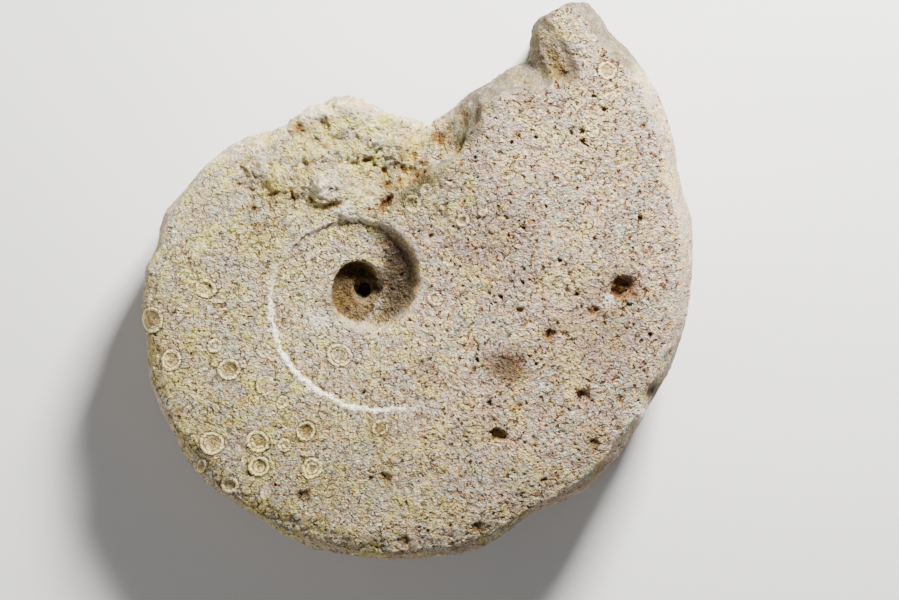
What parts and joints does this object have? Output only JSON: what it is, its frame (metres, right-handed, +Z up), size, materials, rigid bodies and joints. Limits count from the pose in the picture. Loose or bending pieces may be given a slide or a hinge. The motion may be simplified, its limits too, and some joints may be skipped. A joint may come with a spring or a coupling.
{
  "type": "ammonite fossil",
  "caption": "Coiled shell fossil in pitted cream limestone, lying on one flank, with a stepped umbilicus and a broken mouth.",
  "frame": {"origin": "centre of the bounding box, on the plane the fossil rests on", "axes": "+Z up out of the pictured flank, through the thickness; +X and +Y run to the right and up as that flank is looked down on, with the mouth at the top right"},
  "size_m": [0.1028, 0.1032, 0.0327],
  "materials": {
    "limestone": "matt, granular and pitted"
  },
  "bodies": {
    "root": {"ammonite": "limestone"}
  },
  "joints": []
}
